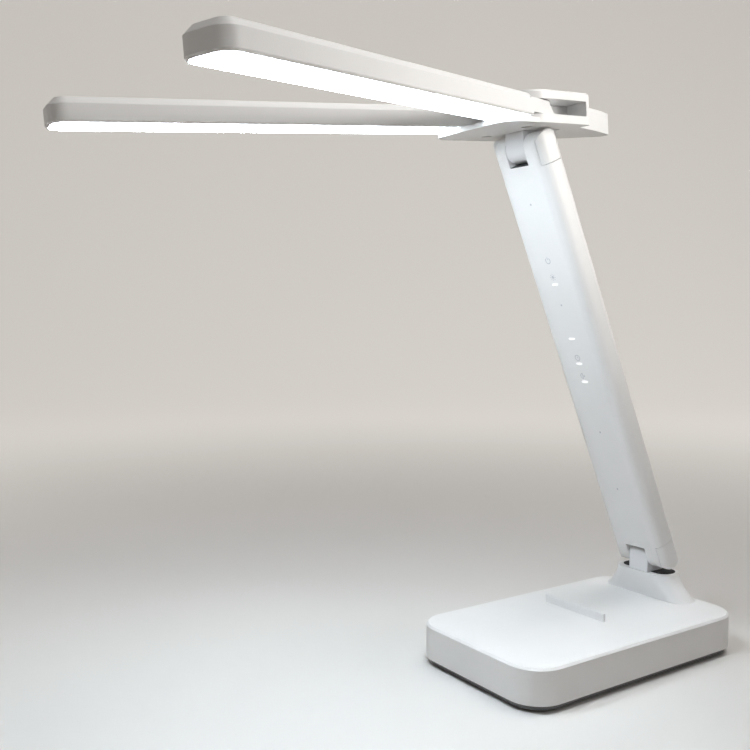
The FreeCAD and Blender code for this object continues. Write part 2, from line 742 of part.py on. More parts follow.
def pivot_sleeves():
    out = []
    for x, y in pivot_points():
        ring = zcyl(x, y, LAYER_Z0, LAYER_Z1, SLEEVE_R)
        out.append(ring.cut(zcyl(x, y, LAYER_Z0, LAYER_Z1, PIVOT_SCREW_R + RUN)))
    return group(out)


def pivot_washers():
    # One under each arm, which turns on it.
    t = TONGUE_Z0 - LAYER_Z0 - RUN
    out = []
    for x, y in pivot_points():
        ring = zcyl(x, y, LAYER_Z0, LAYER_Z0 + t, PIVOT_WASHER_R)
        out.append(ring.cut(zcyl(x, y, LAYER_Z0, LAYER_Z0 + t, SLEEVE_R + RUN)))
    return group(out)


def head_hinge_bracket():
    x = TONGUE_W / 2
    barrel = xcyl(-x, x, 0, 0, BARREL_R)
    neck = box(-x, x, -BARREL_R, BARREL_R, 0, LAYER_Z0)
    flange = box(-x, x, NECK_FLANGE_Y0, NECK_FLANGE_Y1, NECK_FLANGE_Z0, NECK_FLANGE_Z1)
    body = join([barrel, neck, flange])
    body = body.cut(xcyl(-x - 1, x + 1, 0, 0, PIN_R + RUN))
    for sx, sy in NECK_SCREWS:
        body = body.cut(zcyl(sx, sy, NECK_FLANGE_Z0, NECK_FLANGE_Z1, SMALL_R + RUN))
        body = body.cut(zcyl(sx, sy, NECK_FLANGE_Z0, NECK_FLANGE_Z0 + SMALL_SINK + SMALL_HEAD_T,
                             SMALL_HEAD_R + HEAD_ROOM))
    return body


def head_bracket_screws():
    z = NECK_FLANGE_Z0 + SMALL_SINK
    length = NECK_FLANGE_Z1 + SMALL_BITE - z - SMALL_HEAD_T
    out = []
    for x, y in NECK_SCREWS:
        out.append(screw(x, y, z, SMALL_R, SMALL_HEAD_R, SMALL_HEAD_T, length))
    return group(out)


def driver_board():
    y0 = HUB_REAR_Y + DRIVER_IN
    z0 = HUB_Z0 + TAIL_WALL
    top = z0 + DRIVER_LIFT + BOARD_T
    plate = box(-DRIVER_HW, DRIVER_HW, y0, y0 + DRIVER_L, z0 + DRIVER_LIFT, top)
    coil = box(-2.5, 2.5, y0 + 5, y0 + 10, top, TAIL_Z1 - TAIL_LID_T - TAIL_LIP - GAP)
    feet = []
    for x in (-DRIVER_HW + 0.5, DRIVER_HW - 3):
        feet.append(box(x, x + 2.5, y0 + 6, y0 + 8.5, z0, z0 + DRIVER_LIFT))
    return join([plate, coil] + feet)


# One arm, drawn straight with its pivot axis through the origin

def arm_outline(inset, root_y, z):
    hw = ARM_W / 2 - inset
    y0 = -ARM_LEN + inset
    r = ARM_TIP_R - inset
    k = r * (1 - math.sqrt(0.5))
    return loop([
        (-hw, root_y, z),
        (-hw, y0 + r, z),
        ((-hw + k, y0 + k, z), (-hw + r, y0, z)),
        (hw - r, y0, z),
        ((hw - k, y0 + k, z), (hw, y0 + r, z)),
        (hw, root_y, z),
        (-hw, root_y, z),
    ])


def tongue_outline(y_flat, z):
    # The sides run flush with the arm up to y_flat, and a round end closes them.
    half = ARM_W / 2
    return loop([
        (-half, -ARM_ROOT - 3, z),
        (half, -ARM_ROOT - 3, z),
        (half, y_flat, z),
        ((0, math.hypot(half, y_flat), z), (-half, y_flat, z)),
        (-half, -ARM_ROOT - 3, z),
    ])


def arm_housing():
    foot = loft([arm_outline(ARM_FOOT, 0, ARM_SEAM_Z - ARM_FOOT), arm_outline(0, 0, ARM_SEAM_Z)])
    wall = prism(arm_outline(0, 0, ARM_SEAM_Z), ARM_WALL_H)
    top = loft([arm_outline(0, 0, ARM_SEAM_Z + ARM_WALL_H), arm_outline(ARM_CHAMFER, 0, ARM_Z1)])
    body = foot.fuse(wall).fuse(top)
    body = body.cut(box(-FAR, FAR, -ARM_ROOT, FAR, 0, FAR))
    solid = -ARM_ROOT - ROOT_SOLID
    mouth = prism(arm_outline(ARM_SKIN - LENS_LEDGE, -ARM_ROOT - LENS_ROOT, 0), LENS_Z1 + LENS_GAP)
    room = prism(arm_outline(ARM_SKIN, solid, LENS_Z1), ARM_SEAM_Z + ARM_WALL_H - LENS_Z1)
    roof = loft([arm_outline(ARM_SKIN, solid, ARM_SEAM_Z + ARM_WALL_H),
                 arm_outline(ARM_SKIN + ARM_CHAMFER * 0.5, solid, ARM_Z1 - ARM_SKIN)])
    body = body.cut(mouth).cut(room.fuse(roof))
    y_flat = math.sqrt(HUB_LOBE_R ** 2 - (ARM_W / 2) ** 2)
    tongue = loft([tongue_outline(y_flat, TONGUE_Z0),
                   tongue_outline(TONGUE_TOP_Y, TONGUE_Z0 + TONGUE_T)])
    body = body.fuse(tongue)
    bore = zcyl(0, 0, TONGUE_Z0 - 1, TONGUE_Z0 + TONGUE_T + 1, SLEEVE_R + RUN)
    return body.cut(bore).removeSplitter()


def arm_diffuser():
    inset = ARM_SKIN - LENS_LEDGE + LENS_GAP
    return prism(arm_outline(inset, -ARM_ROOT - LENS_ROOT - LENS_GAP, LENS_Z1 - LENS_T), LENS_T)


def led_board_ends():
    return -ARM_LEN + LED_BOARD_TIP, -ARM_ROOT - ROOT_SOLID - LED_BOARD_ROOT


def arm_led_board():
    z1 = ARM_Z1 - ARM_SKIN
    y0, y1 = led_board_ends()
    return box(-LED_BOARD_HW, LED_BOARD_HW, y0, y1, z1 - BOARD_T, z1)


def arm_leds():
    z1 = ARM_Z1 - ARM_SKIN - BOARD_T
    y0, y1 = led_board_ends()
    count = int((y1 - y0 - 2 * LED_MARGIN) / LED_PITCH) + 1
    out = []
    for k in range(count):
        y = y0 + LED_MARGIN + k * LED_PITCH
        out.append(box(-1.75, 1.75, y - 1.4, y + 1.4, z1 - 0.8, z1))
    return group(out)


save("anti_slip_pad", anti_slip_pad())
save("base_bottom_cover", base_bottom_cover())
save("base_top_cover", base_top_cover())
save("base_screws", base_screws())
save("counterweight", counterweight())
save("weight_screws", weight_screws())
save("battery", battery())
save("charge_board", charge_board())
save("usb_socket", usb_socket())
save("lower_hinge_bracket", lower_hinge_bracket())
save("bracket_screws", bracket_screws())

stem = stem_body()
save("stem_front_cover", stem_place(stem_front_cover(stem)))
save("stem_back_cover", stem_place(stem_back_cover(stem)))
save("stem_screws", stem_place(stem_screws()))
save("touch_board", stem_place(touch_board()))
for end, level in ((0, "lower"), (1, "upper")):
    for sx, side in ((-1, "left"), (1, "right")):
        save("hinge_cap_" + level + "_" + side, stem_place(stem_cap(end, sx)))
save("lower_hinge_pin", stem_place(hinge_pin(0)))
save("upper_hinge_pin", stem_place(hinge_pin(STEM_HINGES)))
save("hinge_nuts", stem_place(group([hinge_nut(0), hinge_nut(STEM_HINGES)])))
save("hinge_washers", stem_place(hinge_washers()))

save("head_hinge_bracket", head_place(head_hinge_bracket()))
save("head_bracket_screws", head_place(head_bracket_screws()))
save("hub_lower_shell", head_place(hub_lower_shell()))
save("hub_top_plate", head_place(hub_top_plate()))
save("hub_tail_lid", head_place(hub_tail_lid()))
save("hub_screws", head_place(hub_screws()))
save("driver_board", head_place(driver_board()))
save("pivot_sleeves", head_place(pivot_sleeves()))
save("pivot_screws", head_place(pivot_screws()))
save("pivot_washers", head_place(pivot_washers()))

for side, name in ((1, "right"), (-1, "left")):
    save(name + "_arm_housing", arm_place(arm_housing(), side))
    save(name + "_diffuser", arm_place(arm_diffuser(), side))
    save(name + "_led_board", arm_place(arm_led_board(), side))
    save(name + "_leds", arm_place(arm_leds(), side))
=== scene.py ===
import bpy
import bmesh
import json
import math
from mathutils import Matrix, Vector
from mathutils.geometry import tessellate_polygon


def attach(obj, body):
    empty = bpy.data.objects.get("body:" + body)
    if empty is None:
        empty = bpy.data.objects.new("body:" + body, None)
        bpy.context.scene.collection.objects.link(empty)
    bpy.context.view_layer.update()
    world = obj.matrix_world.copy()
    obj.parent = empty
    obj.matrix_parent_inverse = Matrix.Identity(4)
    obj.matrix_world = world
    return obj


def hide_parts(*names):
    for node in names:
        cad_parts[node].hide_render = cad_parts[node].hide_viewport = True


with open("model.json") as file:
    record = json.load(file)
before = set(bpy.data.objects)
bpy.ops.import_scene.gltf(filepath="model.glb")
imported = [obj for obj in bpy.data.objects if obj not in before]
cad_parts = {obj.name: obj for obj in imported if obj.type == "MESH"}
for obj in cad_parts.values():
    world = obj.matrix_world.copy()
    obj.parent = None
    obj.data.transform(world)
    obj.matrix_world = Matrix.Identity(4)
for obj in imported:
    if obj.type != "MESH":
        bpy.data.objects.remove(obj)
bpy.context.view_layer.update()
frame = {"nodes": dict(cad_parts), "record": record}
nodes = frame["nodes"]

MM = 0.001


# ---------------------------------------------------------------- materials

RAMP_STOPS = (0.3, 0.7)
SOFT_EDGE = 0.00035      # radius of moulded plastic's softened edges, in metres
GLOSS_SPREAD = 0.05
STREAK_STRETCH = (1, 1, 0.05)


def shader(name):
    mat = bpy.data.materials.new(name)
    mat.use_nodes = True
    tree = mat.node_tree
    coord = tree.nodes.new("ShaderNodeTexCoord")
    return mat, tree, tree.nodes["Principled BSDF"], coord.outputs["Object"]


def noise(tree, place, scale, detail, rough=0.5):
    tex = tree.nodes.new("ShaderNodeTexNoise")
    tex.inputs["Scale"].default_value = scale
    tex.inputs["Detail"].default_value = detail
    tex.inputs["Roughness"].default_value = rough
    tree.links.new(place, tex.inputs["Vector"])
    return tex.outputs["Fac"]


def ramp(tree, fac, low, high):
    # Drifts between two close colours.
    node = tree.nodes.new("ShaderNodeValToRGB")
    for element, pos, col in zip(node.color_ramp.elements, RAMP_STOPS, (low, high)):
        element.position = pos
        element.color = (*col, 1.0)
    tree.links.new(fac, node.inputs["Fac"])
    return node.outputs["Color"]


def map_range(tree, value, to, given=(0.0, 1.0), smooth=False):
    node = tree.nodes.new("ShaderNodeMapRange")
    if smooth:
        node.interpolation_type = "SMOOTHSTEP"
    for key, number in zip(("From Min", "From Max", "To Min", "To Max"), (*given, *to)):
        node.inputs[key].default_value = number
    tree.links.new(value, node.inputs["Value"])
    return node.outputs["Result"]


def maths(tree, operation, a, b):
    node = tree.nodes.new("ShaderNodeMath")
    node.operation = operation
    tree.links.new(a, node.inputs[0])
    tree.links.new(b, node.inputs[1])
    return node.outputs["Value"]


def seen_rays(tree):
    # 1 for what the camera sees, also in a gloss or through glass, and 0 for bounced light.
    path = tree.nodes.new("ShaderNodeLightPath")
    seen = path.outputs["Is Camera Ray"]
    for other in ("Is Glossy Ray", "Is Transmission Ray"):
        seen = maths(tree, "MAXIMUM", seen, path.outputs[other])
    return seen


def bump(tree, bsdf, height, strength, distance, under=None):
    node = tree.nodes.new("ShaderNodeBump")
    node.inputs["Strength"].default_value = strength
    node.inputs["Distance"].default_value = distance
    tree.links.new(height, node.inputs["Height"])
    if under is not None:
        tree.links.new(under.outputs["Normal"], node.inputs["Normal"])
    tree.links.new(node.outputs["Normal"], bsdf.inputs["Normal"])


def rough_from(tree, bsdf, fac, low, high):
    tree.links.new(map_range(tree, fac, (low, high)), bsdf.inputs["Roughness"])


def tinted(col, k):
    return tuple(min(1.0, c * k) for c in col)


def moulded(name, col, rough=0.42, grain=1500, depth=0.00005, vary=0.012):
    # Moulded plastic: softened edges, a fine spark-eroded grain, faint cloudy variation and
    # slightly uneven gloss.
    mat, tree, bsdf, place = shader(name)
    cloud = noise(tree, place, scale=38, detail=4, rough=0.55)
    colour = ramp(tree, cloud, tinted(col, 1 - vary), tinted(col, 1 + vary))
    tree.links.new(colour, bsdf.inputs["Base Color"])
    soft = tree.nodes.new("ShaderNodeBevel")
    soft.samples = 6
    soft.inputs["Radius"].default_value = SOFT_EDGE
    fine = noise(tree, place, grain, detail=2, rough=0.6)
    bump(tree, bsdf, fine, strength=0.6, distance=depth, under=soft)
    rough_from(tree, bsdf, cloud, rough - GLOSS_SPREAD, rough + GLOSS_SPREAD)
    bsdf.inputs["Specular IOR Level"].default_value = 0.45
    return mat


def metal(name, col, rough=0.3):
    # Metal with fine streaks along Z.
    mat, tree, bsdf, place = shader(name)
    mapping = tree.nodes.new("ShaderNodeMapping")
    mapping.inputs["Scale"].default_value = STREAK_STRETCH
    tree.links.new(place, mapping.inputs["Vector"])
    streaks = noise(tree, mapping.outputs["Vector"], scale=900, detail=3)
    colour = ramp(tree, streaks, tinted(col, 0.88), tinted(col, 1.08))
    tree.links.new(colour, bsdf.inputs["Base Color"])
    rough_from(tree, bsdf, streaks, rough - 0.08, rough + 0.1)
    bump(tree, bsdf, streaks, strength=0.3, distance=0.00002)
    bsdf.inputs["Metallic"].default_value = 1.0
    return mat


def lit(name, col, strength, root_strength=None):
    # A lit surface with a faint ripple. With a root strength, it is an opal diffuser over a
    # row of LEDs, weaker past the row's end at the hub.
    mat, tree, bsdf, place = shader(name)
    ripple = noise(tree, place, scale=60, detail=2)
    colour = ramp(tree, ripple, tinted(col, 0.985), col)
    for socket in ("Base Color", "Emission Color"):
        tree.links.new(colour, bsdf.inputs[socket])
    if root_strength is None:
        bsdf.inputs["Emission Strength"].default_value = strength
    else:
        xyz = tree.nodes.new("ShaderNodeSeparateXYZ")
        tree.links.new(place, xyz.inputs["Vector"])
        fall = map_range(tree, xyz.outputs["Y"], (strength, root_strength), LENS_FALL, smooth=True)
        tree.links.new(fall, bsdf.inputs["Emission Strength"])
    bsdf.inputs["Roughness"].default_value = 0.35
    bump(tree, bsdf, noise(tree, place, scale=2400, detail=2), strength=0.3, distance=0.00003)
    return mat


WHITE = (0.86, 0.865, 0.87)
LENS_POWER = 32.0
LENS_ROOT_POWER = 8.0
LENS_FALL = (-0.15, -0.065)      # the light's fall towards the hub, along Y, in metres
MARK_POWER = 1.15
PHOSPHOR_POWER = 2.0
MATERIALS = {
    "shell_white": moulded("shell_white", WHITE),
    "bracket_white": moulded("bracket_white", (0.80, 0.81, 0.83), rough=0.38),
    # The bottom cover is darker than its own grey, so it also stands for the shade under the base:
    # partly painted shade.
    "cover_grey": moulded("cover_grey", (0.14, 0.142, 0.15), rough=0.6, grain=1800, depth=0.0001),
    "pad_rubber": moulded("pad_rubber", (0.035, 0.035, 0.038), rough=0.85, grain=1400,
                          depth=0.00015, vary=0.12),
    "screw_steel": metal("screw_steel", (0.55, 0.55, 0.57)),
    "weight_steel": metal("weight_steel", (0.23, 0.23, 0.24), rough=0.5),
    "battery_wrap": moulded("battery_wrap", (0.35, 0.42, 0.52), rough=0.3, grain=400),
    "circuit_board": moulded("circuit_board", (0.02, 0.16, 0.07), rough=0.35, grain=900, vary=0.15),
    "socket_metal": metal("socket_metal", (0.62, 0.62, 0.64), rough=0.25),
    "washer_nylon": moulded("washer_nylon", (0.62, 0.60, 0.53), rough=0.5),
    "sleeve_brass": metal("sleeve_brass", (0.66, 0.50, 0.22)),
    "mark_grey": moulded("mark_grey", (0.58, 0.595, 0.64), rough=0.5, grain=900),
    "mark_light": lit("mark_light", (0.97, 0.985, 1.0), MARK_POWER),
    "led_board_white": moulded("led_board_white", (0.78, 0.79, 0.78), rough=0.4, grain=900),
    "led_phosphor": lit("led_phosphor", (1.0, 0.93, 0.75), PHOSPHOR_POWER),
    "lens_lit": lit("lens_lit", (0.85, 0.935, 1.0), LENS_POWER, LENS_ROOT_POWER),
}

slot_of = {s["node"]: s["material_slot"] for s in frame["record"]["subparts"]}
for name, obj in nodes.items():
    obj.data.materials.clear()
    obj.data.materials.append(MATERIALS[slot_of[name]])


# ---------------------------------------------------------------- pieces

# The same named values as the part's source, in millimetres.
STEM_FOOT = Vector((-7.5, 60.8, 45.2))
STEM_LEAN = math.radians(23.91)
STEM_HINGES = 235.6
STEM_FACE_Y = -7.0
STEM_BACK_Y = 7.0
STEM_SINK = 0.3
STEM_SOLID_END = 16.0
HEAD_PITCH = math.radians(4.4)
HUB_Z0 = 7.66
NOTCH_BEYOND = 7.2
NOTCH_HW = 6.3

stem_turn = Matrix.Rotation(STEM_LEAN, 4, "X")
to_base = Matrix.Scale(MM, 4)
to_stem = to_base @ Matrix.Translation(STEM_FOOT) @ stem_turn
upper_axis = STEM_FOOT + stem_turn @ Vector((0, 0, STEM_HINGES))
to_head = to_base @ Matrix.Translation(upper_axis) @ Matrix.Rotation(HEAD_PITCH, 4, "X")


def piece(name, bm, body, material, place):
    bmesh.ops.remove_doubles(bm, verts=bm.verts, dist=1e-5)
    bmesh.ops.recalc_face_normals(bm, faces=bm.faces)
    mesh = bpy.data.meshes.new(name)
    bm.transform(place)
    bm.to_mesh(mesh)
    bm.free()
    obj = bpy.data.objects.new(name, mesh)
    bpy.context.scene.collection.objects.link(obj)
    mesh.materials.append(material)
    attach(obj, body)
    return obj


def ring_points(r, count):
    return [(r * math.cos(2 * math.pi * k / count), r * math.sin(2 * math.pi * k / count))
            for k in range(count)]


def cross_points(w, q):
    # A cross whose arms are 2 w wide and reach q from the middle.
    return [(q, -w), (q, w), (w, w), (w, q), (-w, q), (-w, w),
            (-q, w), (-q, -w), (-w, -w), (-w, -q), (w, -q), (w, -w)]


def strip(bm, low, high):
    for k in range(len(low)):
        n = (k + 1) % len(low)
        bm.faces.new((low[k], low[n], high[n], high[k]))


def cap(bm, loops, verts):
    # Closes flat loops, the first one outside and any other a hole in it.
    for tri in tessellate_polygon([[Vector((x, y, 0)) for x, y in loop] for loop in loops]):
        if len({verts[i] for i in tri}) == 3:
            bm.faces.new([verts[i] for i in tri])


SCREW_SIDES = 32
SCREW_EDGE = 0.28                # rounding of the head's rim
SCREW_TIP = (0.4, 0.35)          # bevel of the shank's end, along it and across it
RECESS_MOUTH = (0.14, 0.6)       # the cross's half-width and reach, of the head's radius
RECESS_FLOOR = (0.11, 0.46)
RECESS_DEPTH = 0.55              # of the head's height


def screw(bm, base, axis, r, head_r, head_t, length):
    # A cross-recess screw: base is the middle of its head's outer face, axis points along
    # the shank.
    place = Matrix.Translation(base) @ axis.to_track_quat("Z", "Y").to_matrix().to_4x4()

    def level(points, z):
        return [bm.verts.new(place @ Vector((x, y, z))) for x, y in points]

    rings = [level(ring_points(radius, SCREW_SIDES), z) for radius, z in (
        (head_r - SCREW_EDGE, 0.0),
        (head_r - SCREW_EDGE * 0.3, SCREW_EDGE * 0.3),
        (head_r, SCREW_EDGE),
        (head_r, head_t),
        (r, head_t),
        (r, head_t + length - SCREW_TIP[0]),
        (r - SCREW_TIP[1], head_t + length))]
    for a, b in zip(rings, rings[1:]):
        strip(bm, a, b)
    bm.faces.new(rings[-1])
    recess = cross_points(*(head_r * share for share in RECESS_MOUTH))
    mouth = level(recess, 0.0)
    floor = level(cross_points(*(head_r * share for share in RECESS_FLOOR)), head_t * RECESS_DEPTH)
    cap(bm, [ring_points(head_r - SCREW_EDGE, SCREW_SIDES), recess], rings[0] + mouth)
    strip(bm, mouth, floor)
    bm.faces.new(floor)


def screw_set(name, body, place, axis, points, sizes):
    bm = bmesh.new()
    for p in points:
        screw(bm, Vector(p), Vector(axis), *sizes)
    obj = piece(name + "_dressed", bm, body, MATERIALS["screw_steel"], place)
    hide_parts(name)


# Shank radius, head radius, head height and shank length of each screw.
STEM_SCREW = (1.4, 2.5, 1.4, 8.0)
HUB_SCREW = (1.0, 1.8, 1.5, 11.0)
PIVOT_SCREW = (1.5, 2.5, 1.6, 10.0)
BRACKET_SCREW = (1.0, 1.8, 1.5, 7.0)
HUB_SCREW_X, HUB_SCREW_Y, HUB_SCREW_IN = 10.3, 11.15, 0.3
PIVOT_X, PIVOT_Y, PIVOT_SCREW_IN = 14.3, -11.6, 1.0
BRACKET_SCREW_X, BRACKET_SCREW_Y, BRACKET_SCREW_IN = 3.8, 11.45, 0.7

stem_screw_y = STEM_BACK_Y - STEM_SINK
stem_screw_z = (NOTCH_BEYOND + STEM_SOLID_END) / 2
screw_set("stem_screws", "stem", to_stem, (0, -1, 0),
          [(0, stem_screw_y, stem_screw_z), (0, stem_screw_y, STEM_HINGES - stem_screw_z)],
          STEM_SCREW)
for name, x, y, sunk, sizes in (
        ("hub_screws", HUB_SCREW_X, HUB_SCREW_Y, HUB_SCREW_IN, HUB_SCREW),
        ("pivot_screws", PIVOT_X, PIVOT_Y, PIVOT_SCREW_IN, PIVOT_SCREW),
        ("head_bracket_screws", BRACKET_SCREW_X, BRACKET_SCREW_Y, BRACKET_SCREW_IN,
         BRACKET_SCREW)):
    screw_set(name, "hub", to_head, (0, 0, 1),
              [(-x, y, HUB_Z0 + sunk), (x, y, HUB_Z0 + sunk)], sizes)


# Printed touch marks and their small lights, all on the stem's centre line. Heights are
# from the lower hinge.

MARK_T = 0.03
MARK_SINK = 0.02


def slab(bm, outline):
    # A thin plate lying on the stem's front face, drawn in its (x, z).
    front = [bm.verts.new((x, STEM_FACE_Y - MARK_T, z)) for x, z in outline]
    back = [bm.verts.new((x, STEM_FACE_Y + MARK_SINK, z)) for x, z in outline]
    cap(bm, [outline], front)
    strip(bm, back, front)


def arc_band(cx, cz, r, width, a0, a1, count=22):
    outer, inner = [
        [(cx + side * math.cos(a0 + (a1 - a0) * k / count),
          cz + side * math.sin(a0 + (a1 - a0) * k / count)) for k in range(count + 1)]
        for side in (r + width / 2, r - width / 2)]
    return outer + inner[::-1]


def bar(cx, cz, length, width, angle=0.0):
    # A bar with round ends.
    pts = []
    for side in (1, -1):
        for k in range(7):
            a = math.pi / 2 * -side + math.pi * k / 6
            pts.append((side * (length / 2 - width / 2) + width / 2 * math.cos(a),
                        width / 2 * math.sin(a)))
    c, s = math.cos(angle), math.sin(angle)
    return [(cx + x * c - z * s, cz + x * s + z * c) for x, z in pts]


def disc(cx, cz, r):
    return [(cx + x, cz + z) for x, z in ring_points(r, 20)]


def power_mark(bm, z):
    slab(bm, arc_band(0, z, r=1.5, width=0.42, a0=math.radians(125), a1=math.radians(415)))
    slab(bm, bar(0, z + 1.25, length=1.5, width=0.42, angle=math.pi / 2))


def sun_mark(bm, z):
    rays, reach = 8, 1.5
    slab(bm, disc(0, z, r=0.75))
    for k in range(rays):
        a = 2 * math.pi * k / rays
        slab(bm, bar(reach * math.cos(a), z + reach * math.sin(a),
                     length=0.75, width=0.34, angle=a))


def clock_mark(bm, z):
    slab(bm, arc_band(0, z, r=1.55, width=0.4, a0=0, a1=math.radians(359.9), count=30))
    slab(bm, bar(0, z + 0.42, length=1.05, width=0.34, angle=math.pi / 2))
    slab(bm, bar(0.38, z, length=0.95, width=0.34))


def tone_mark(bm, z):
    slab(bm, arc_band(0, z, r=1.5, width=0.4, a0=math.radians(90), a1=math.radians(270)))
    slab(bm, bar(0, z, length=3.2, width=0.4, angle=math.pi / 2))
    slab(bm, disc(0.95, z, r=0.45))


MARKS = ((179.0, power_mark), (170.0, sun_mark), (124.4, clock_mark), (113.8, tone_mark))
DOTS_Z = (209.0, 154.5, 80.0, 44.5)
DOT_R = 0.55
LIGHTS_Z = (166.0, 135.4, 121.0, 110.4)
LIGHT_LENGTH = 3.6
LIGHT_WIDTH = 0.9

bm = bmesh.new()
for z, draw in MARKS:
    draw(bm, z)
for z in DOTS_Z:
    slab(bm, disc(0, z, DOT_R))
piece("touch_marks", bm, "stem", MATERIALS["mark_grey"], to_stem)

bm = bmesh.new()
for z in LIGHTS_Z:
    slab(bm, bar(0, z, LIGHT_LENGTH, LIGHT_WIDTH))
piece("touch_lights", bm, "stem", MATERIALS["mark_light"], to_stem)


# The upper hinge post's moulded skin.

KNUCKLE_R = 6.85
KNUCKLE_HW = 6.42
KNUCKLE_EDGE = 0.3
KNUCKLE_TOP = HUB_Z0 - 0.05
KNUCKLE_STEPS = 24


def knuckle_cover():
    # Nearly flush with the stem, and round at its foot about the hinge axis.
    def profile(shrink):
        r = KNUCKLE_R - shrink
        turns = [math.radians(-180 / KNUCKLE_STEPS * k) for k in range(KNUCKLE_STEPS + 1)]
        foot = [(r * math.cos(a), r * math.sin(a)) for a in turns]
        return [(r, KNUCKLE_TOP)] + foot + [(-r, KNUCKLE_TOP)]

    bm = bmesh.new()
    rows = []
    for x, shrink in ((-KNUCKLE_HW, KNUCKLE_EDGE), (-KNUCKLE_HW + KNUCKLE_EDGE, 0.0),
                      (KNUCKLE_HW - KNUCKLE_EDGE, 0.0), (KNUCKLE_HW, KNUCKLE_EDGE)):
        rows.append([bm.verts.new((x, y, z)) for y, z in profile(shrink)])
    for a, b in zip(rows, rows[1:]):
        strip(bm, a, b)
    bm.faces.new(rows[0])
    bm.faces.new(rows[-1])
    piece("knuckle_cover", bm, "hub", MATERIALS["bracket_white"], to_head)


knuckle_cover()


# Dark plates in the hinge gaps: painted shade, standing for the shadow deep in the gaps.

def painted_shade_plate(name, outline, z0, z1, edge, body, place):
    # A flat plate with a softened edge at z1, drawn in x and y. It is dark, as painted shade where
    # a gap or well lies in shadow.
    bm = bmesh.new()
    mid = Vector((sum(p[0] for p in outline) / len(outline),
                  sum(p[1] for p in outline) / len(outline)))

    def level(z, shrink):
        out = []
        for x, y in outline:
            away = Vector((x, y)) - mid
            away = away * (1 - shrink / max(away.length, 1e-6))
            out.append(bm.verts.new((mid.x + away.x, mid.y + away.y, z)))
        return out

    rows = [level(z0, 0.0), level(z1 - (edge if z1 > z0 else -edge), 0.0), level(z1, edge)]
    for a, b in zip(rows, rows[1:]):
        strip(bm, a, b)
    for row in (rows[0], rows[-1]):
        cap(bm, [outline], row)
    piece(name, bm, body, MATERIALS["pad_rubber"], place)


def corner(x, y, r, a0):
    # A quarter circle from angle a0, in steps of 15 degrees.
    turns = [math.radians(a0 + 15 * k) for k in range(7)]
    return [(x + r * math.cos(a), y + r * math.sin(a)) for a in turns]


def notch_outline(reach):
    return [(-NOTCH_HW, -reach), (NOTCH_HW, -reach), (NOTCH_HW, reach), (-NOTCH_HW, reach)]


SHADE_PLATE_SINK = 0.02
NOTCH_SHADE_EDGE = 0.05
UPPER_SHADE_REACH, UPPER_SHADE_T = 6.9, 0.24
LOWER_SHADE_REACH, LOWER_SHADE_T = 6.4, 0.7
upper_floor = STEM_HINGES - NOTCH_BEYOND
painted_shade_plate("upper_notch_painted_shade", notch_outline(UPPER_SHADE_REACH), upper_floor - SHADE_PLATE_SINK,
     upper_floor + UPPER_SHADE_T, NOTCH_SHADE_EDGE, "stem", to_stem)
painted_shade_plate("lower_notch_painted_shade", notch_outline(LOWER_SHADE_REACH), NOTCH_BEYOND + SHADE_PLATE_SINK,
     NOTCH_BEYOND - LOWER_SHADE_T, NOTCH_SHADE_EDGE, "stem", to_stem)

# On the pedestal's top, round the hinge post: a dark plate as painted shade for the shadow there.
PED_TOP_Z = 35.0
PED_SHADE_T = 0.3
PED_SHADE_EDGE = 0.08
PED_SHADE_X = (-23.2, 8.2)
PED_SHADE_Y = (57.2, 70.4)
POST_X = (-14.2, -0.8)
POST_BACK_Y = 67.5
PED_SHADE_R = 5.5
pedestal_shade_outline = [
    (POST_X[1], PED_SHADE_Y[0]),
    *corner(PED_SHADE_X[1] - PED_SHADE_R, PED_SHADE_Y[0] + PED_SHADE_R, PED_SHADE_R, -90),
    *corner(PED_SHADE_X[1] - PED_SHADE_R, PED_SHADE_Y[1] - PED_SHADE_R, PED_SHADE_R, 0),
    *corner(PED_SHADE_X[0] + PED_SHADE_R, PED_SHADE_Y[1] - PED_SHADE_R, PED_SHADE_R, 90),
    *corner(PED_SHADE_X[0] + PED_SHADE_R, PED_SHADE_Y[0] + PED_SHADE_R, PED_SHADE_R, 180),
    (POST_X[0], PED_SHADE_Y[0]), (POST_X[0], POST_BACK_Y), (POST_X[1], POST_BACK_Y)]
painted_shade_plate("pedestal_painted_shade", pedestal_shade_outline, PED_TOP_Z - SHADE_PLATE_SINK, PED_TOP_Z + PED_SHADE_T,
     PED_SHADE_EDGE, "base", to_base)


# ---------------------------------------------------------------- stage

# Lengths in metres.
FLOOR_PALE = (0.76, 0.752, 0.74)
FLOOR_BOUNCE = (0.545, 0.51, 0.475)
WALL_TONE = (1.0, 0.955, 0.89)
WALL_GLOW = 0.36
GLOW_REACH = (0.2, 1.15)
BACKDROP_TURN = math.radians(56)
BACKDROP_HW = 7.0
FLOOR_NEAR = -6.0
CURVE_START = 1.1
CURVE_R = 0.9
CURVE_STEPS = 12
WALL_TOP = 5.0
WORLD_TONE = (1.0, 0.965, 0.92)
WORLD_LIGHT = 0.24
WORLD_SEEN = 0.56


